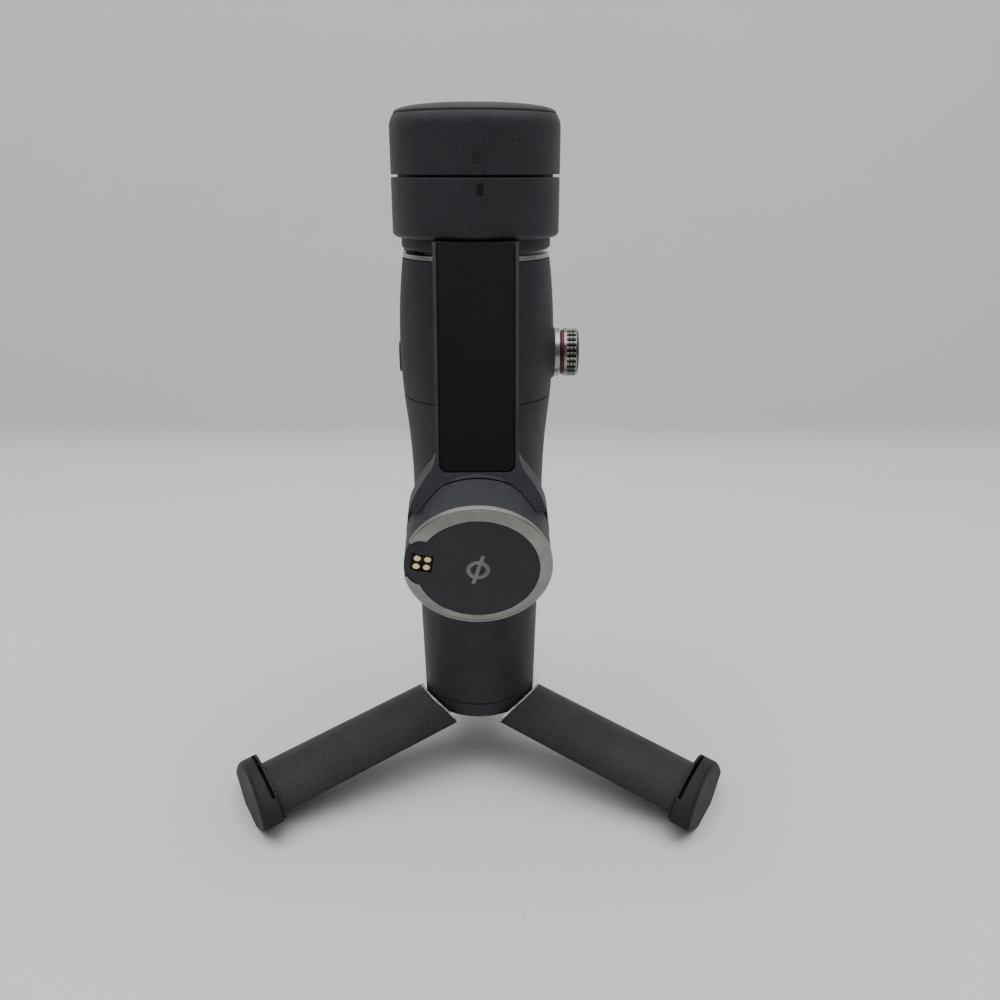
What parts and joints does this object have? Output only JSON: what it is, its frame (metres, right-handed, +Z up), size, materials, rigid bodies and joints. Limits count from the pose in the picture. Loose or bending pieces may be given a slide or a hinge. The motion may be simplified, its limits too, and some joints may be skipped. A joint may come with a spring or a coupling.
{
  "type": "folding phone gimbal",
  "caption": "Folding phone stabiliser with a tilt motor head, a folded arm and magnetic phone plate, a side wheel, and a handle standing on its own opened tripod.",
  "frame": {"origin": "mouth of the threaded socket at the bottom of the handle, on the handle's axis", "axes": "+Z up along the handle, -Y towards the folded arm and phone plate, +X towards the side wheel"},
  "size_m": [0.1516, 0.1432, 0.199],
  "materials": {
    "shell_plastic": "fine matte texture",
    "dark_panel": "smooth satin",
    "window": "gloss",
    "ring_metal": "anodised satin",
    "bright_metal": "machined satin",
    "accent_red": "anodised satin",
    "contact_gold": "plated",
    "inner_plastic": "moulded",
    "steel": "ground",
    "rod_metal": "anodised satin",
    "windings": "enamelled wire",
    "battery_wrap": "shrink film",
    "board_green": "solder mask"
  },
  "bodies": {
    "handle": {"grip_sleeve": "shell_plastic", "upper_shell": "shell_plastic", "bottom_collar": "shell_plastic", "control_panel": "dark_panel", "status_window": "window", "trigger_pin": "steel", "tripod_hub": "inner_plastic", "leg_hinge_pins": "steel", "hub_screws": "steel", "socket_insert": "contact_gold", "rod_guide": "rod_metal", "battery_cells": "battery_wrap", "main_board": "board_green", "usb_port": "steel", "wheel_boss": "bright_metal", "stick_base": "dark_panel"},
    "record_button": {"record_button": "dark_panel"},
    "switch_button": {"switch_button": "dark_panel"},
    "power_button": {"power_button": "dark_panel"},
    "trigger": {"trigger": "dark_panel"},
    "stick_yoke": {"stick_yoke": "dark_panel"},
    "stick": {"stick_post": "dark_panel", "stick_cap": "dark_panel"},
    "wheel_bush": {"wheel_bush": "dark_panel"},
    "wheel": {"wheel_dial": "bright_metal", "wheel_accent_ring": "accent_red"},
    "rod_outer": {"rod_stage_outer": "rod_metal"},
    "rod_middle": {"rod_stage_middle": "rod_metal"},
    "rod_inner": {"rod_stage_inner": "rod_metal", "pan_motor_cup": "rod_metal", "pan_stator": "windings", "pan_bearings": "steel"},
    "pan": {"pan_rotor_bell": "steel", "pan_top_cap": "bright_metal"},
    "head": {"fold_bracket": "shell_plastic", "fold_hinge_pin": "steel", "tilt_upper_housing": "shell_plastic", "tilt_lid": "shell_plastic", "tilt_stator": "windings", "tilt_bearings": "steel"},
    "arm": {"tilt_lower_housing": "shell_plastic", "tilt_rotor_bell": "steel", "arm_frame": "shell_plastic", "arm_panel": "dark_panel", "roll_stator": "windings", "roll_bearings": "steel"},
    "plate": {"roll_rotor_shell": "shell_plastic", "plate_ring": "ring_metal", "face_plate": "dark_panel", "contact_block": "inner_plastic", "contact_pins": "contact_gold"},
    "leg_left": {"leg_left_shell": "shell_plastic", "leg_left_bracket": "bright_metal", "leg_left_foot": "shell_plastic"},
    "leg_right": {"leg_right_shell": "shell_plastic", "leg_right_bracket": "bright_metal", "leg_right_foot": "shell_plastic"},
    "leg_back": {"leg_back_shell": "shell_plastic", "leg_back_bracket": "bright_metal", "leg_back_foot": "shell_plastic"}
  },
  "joints": [
    {"name": "leg_left_fold", "type": "hinge", "parent": "handle", "child": "leg_left", "pos_m": [-0.01039, -0.006, 0.0028], "axis": [0.5, -0.866, 0], "range_deg": [0, 78.25]},
    {"name": "leg_right_fold", "type": "hinge", "parent": "handle", "child": "leg_right", "pos_m": [0.01039, -0.006, 0.0028], "axis": [0.5, 0.866, 0], "range_deg": [0, 78.25]},
    {"name": "leg_back_fold", "type": "hinge", "parent": "handle", "child": "leg_back", "pos_m": [0, 0.012, 0.0028], "axis": [-1, 0, 0], "range_deg": [0, 78.25]},
    {"name": "rod_outer_slide", "type": "slide", "parent": "handle", "child": "rod_outer", "axis": [0, 0, 1], "range_m": [0, 0.0717]},
    {"name": "rod_middle_slide", "type": "slide", "parent": "rod_outer", "child": "rod_middle", "axis": [0, 0, 1], "range_m": [0, 0.0717]},
    {"name": "rod_inner_slide", "type": "slide", "parent": "rod_middle", "child": "rod_inner", "axis": [0, 0, 1], "range_m": [0, 0.0717]},
    {"name": "pan_turn", "type": "hinge", "parent": "rod_inner", "child": "pan", "pos_m": [0, 0, 0.13], "axis": [0, 0, 1], "range_deg": [-109, 222]},
    {"name": "head_fold", "type": "hinge", "parent": "pan", "child": "head", "pos_m": [-0.01901, 0.02217, 0.1462], "axis": [0.0227, -0.9997, 0], "range_deg": [0, 90]},
    {"name": "tilt_turn", "type": "hinge", "parent": "head", "child": "arm", "pos_m": [0, 0, 0.155], "axis": [0, 0, 1], "range_deg": [-97, 165]},
    {"name": "roll_turn", "type": "hinge", "parent": "arm", "child": "plate", "pos_m": [0.00113, -0.04962, 0.07382], "axis": [0.0217, -0.9561, -0.2924], "range_deg": [-61, 241]},
    {"name": "wheel_press", "type": "slide", "parent": "handle", "child": "wheel_bush", "axis": [-1, 0, 0], "range_m": [0, 0.0004], "stiffness_N_per_m": 2000},
    {"name": "wheel_turn", "type": "hinge", "parent": "wheel_bush", "child": "wheel", "pos_m": [0.025, 0, 0.1132], "axis": [1, 0, 0], "continuous": true},
    {"name": "trigger_pull", "type": "hinge", "parent": "handle", "child": "trigger", "pos_m": [0, -0.0179, 0.117], "axis": [1, 0, 0], "range_deg": [0, 5], "stiffness_Nm_per_rad": 1},
    {"name": "stick_up_down", "type": "hinge", "parent": "handle", "child": "stick_yoke", "pos_m": [0, 0.0126, 0.108], "axis": [1, 0, 0], "range_deg": [-11, 11], "stiffness_Nm_per_rad": 0.1},
    {"name": "stick_left_right", "type": "hinge", "parent": "stick_yoke", "child": "stick", "pos_m": [0, 0.0126, 0.108], "axis": [0, 0, 1], "range_deg": [-11, 11], "stiffness_Nm_per_rad": 0.1},
    {"name": "record_button_press", "type": "slide", "parent": "handle", "child": "record_button", "axis": [0, -1, 0], "range_m": [0, 0.0006], "stiffness_N_per_m": 1500},
    {"name": "switch_button_press", "type": "slide", "parent": "handle", "child": "switch_button", "axis": [0, -1, 0], "range_m": [0, 0.0006], "stiffness_N_per_m": 1500},
    {"name": "power_button_press", "type": "slide", "parent": "handle", "child": "power_button", "axis": [1, 0, 0], "range_m": [0, 0.0005], "stiffness_N_per_m": 1500}
  ],
  "couplings": [
    {"joint": "rod_middle_slide", "follows": "rod_outer_slide", "ratio": 1},
    {"joint": "rod_inner_slide", "follows": "rod_outer_slide", "ratio": 1}
  ]
}
